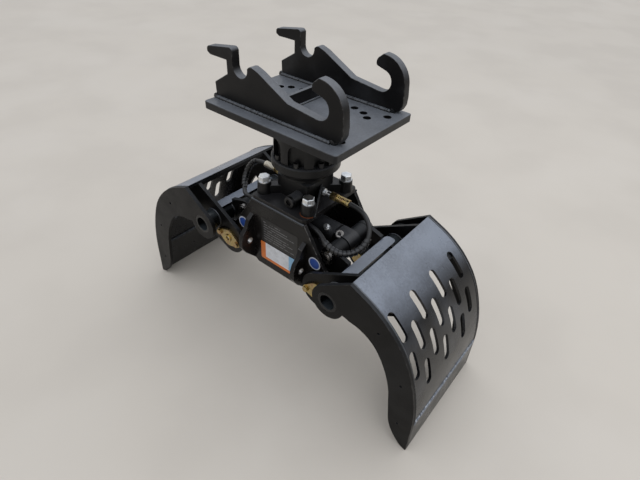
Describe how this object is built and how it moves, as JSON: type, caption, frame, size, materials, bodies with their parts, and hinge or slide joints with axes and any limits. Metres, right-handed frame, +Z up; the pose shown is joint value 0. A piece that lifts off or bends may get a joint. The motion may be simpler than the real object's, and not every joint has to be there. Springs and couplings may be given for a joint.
{
  "type": "rotating sorting grapple",
  "caption": "Excavator sorting grapple: slotted clamshell jaws, one cylinder, a tie rod, and a rotator under a pin-on hook plate.",
  "frame": {"origin": "on the ground under the middle of the grapple, with the shells fully open on their cutting edges", "axes": "+X across the opening towards the right shell, +Y along the pivots, +Z up along the rotator's axis"},
  "size_m": [1.13, 0.4, 0.9271],
  "materials": {
    "side_black": "semi-gloss black paint",
    "sheet_black": "semi-gloss black paint",
    "blade_black": "semi-gloss black paint",
    "pin_steel": "turned steel",
    "yellow_zinc": "yellow passivated zinc",
    "white_zinc": "bright zinc",
    "frame_black": "semi-gloss black paint",
    "bronze": "plain bronze",
    "cast_black": "satin black paint on casting",
    "plug_black": "black oxide",
    "hose_rubber": "smooth black cover",
    "plate_black": "semi-gloss black paint",
    "hook_black": "semi-gloss black paint",
    "chrome_rod": "hard chrome"
  },
  "bodies": {
    "frame": {"frame_side_front": "frame_black", "frame_side_rear": "frame_black", "frame_deck_plate": "frame_black", "frame_floor_plate": "frame_black", "lashing_eyes": "frame_black", "pivot_bushes": "bronze", "rotator_base": "cast_black", "swivel_plug": "plug_black", "rotator_bolts": "white_zinc", "thrust_ring": "bronze", "valve_block": "cast_black", "block_fittings": "white_zinc", "swivel_fittings": "yellow_zinc", "right_hose": "hose_rubber", "left_hose": "hose_rubber"},
    "coupler": {"rotator_shaft": "pin_steel", "rotator_drum": "cast_black", "drum_bolts": "plug_black", "adapter_plate": "plate_black", "hook_plate_front": "hook_black", "hook_plate_rear": "hook_black", "hook_cross_bar": "hook_black"},
    "right_shell": {"right_shell_side_front": "side_black", "right_shell_side_rear": "side_black", "right_shell_sheet": "sheet_black", "right_cutting_edge": "blade_black", "right_sheet_stiffener": "side_black", "right_shell_ribs": "side_black", "right_cross_tube": "sheet_black", "right_boss_rings": "side_black", "right_tube_strap": "sheet_black", "right_pivot_hub": "side_black", "right_inner_arms": "side_black", "right_arm_bosses": "side_black", "right_cylinder_pin": "pin_steel", "right_link_pin": "pin_steel", "right_pivot_pins": "yellow_zinc", "right_flange_bolts": "yellow_zinc"},
    "left_shell": {"left_shell_side_front": "side_black", "left_shell_side_rear": "side_black", "left_shell_sheet": "sheet_black", "left_cutting_edge": "blade_black", "left_sheet_stiffener": "side_black", "left_shell_ribs": "side_black", "left_cross_tube": "sheet_black", "left_boss_rings": "side_black", "left_tube_strap": "sheet_black", "left_pivot_hub": "side_black", "left_inner_arms": "side_black", "left_arm_bosses": "side_black", "left_cylinder_pin": "pin_steel", "left_link_pin": "pin_steel", "left_pivot_pins": "yellow_zinc", "left_flange_bolts": "yellow_zinc"},
    "barrel": {"cylinder_barrel": "cast_black", "cylinder_gland": "pin_steel"},
    "rod": {"cylinder_rod": "chrome_rod", "piston": "pin_steel"},
    "tie_rod": {"sync_link": "side_black"}
  },
  "joints": [
    {"name": "rotator_turn", "type": "hinge", "parent": "frame", "child": "coupler", "pos_m": [0, 0, 0.6], "axis": [0, 0, 1], "continuous": true},
    {"name": "right_shell_swing", "type": "hinge", "parent": "frame", "child": "right_shell", "pos_m": [0.183, 0, 0.343], "axis": [0, 1, 0], "range_deg": [0, 68.8]},
    {"name": "left_shell_swing", "type": "hinge", "parent": "frame", "child": "left_shell", "pos_m": [-0.183, 0, 0.343], "axis": [0, -1, 0], "range_deg": [0, 68.8]},
    {"name": "barrel_pivot", "type": "hinge", "parent": "right_shell", "child": "barrel", "pos_m": [0.168, 0, 0.427], "axis": [0, -1, 0], "range_deg": [0, 68.8]},
    {"name": "rod_pivot", "type": "hinge", "parent": "left_shell", "child": "rod", "pos_m": [-0.168, 0, 0.427], "axis": [0, 1, 0], "range_deg": [0, 68.8]},
    {"name": "tie_rod_pivot", "type": "hinge", "parent": "left_shell", "child": "tie_rod", "pos_m": [-0.15249, 0, 0.38755], "axis": [0, 1, 0], "range_deg": [0, 68.8]}
  ],
  "couplings": [
    {"joint": "left_shell_swing", "follows": "right_shell_swing", "ratio": 1},
    {"joint": "barrel_pivot", "follows": "right_shell_swing", "ratio": 1},
    {"joint": "rod_pivot", "follows": "right_shell_swing", "ratio": 1},
    {"joint": "tie_rod_pivot", "follows": "right_shell_swing", "ratio": 1}
  ]
}
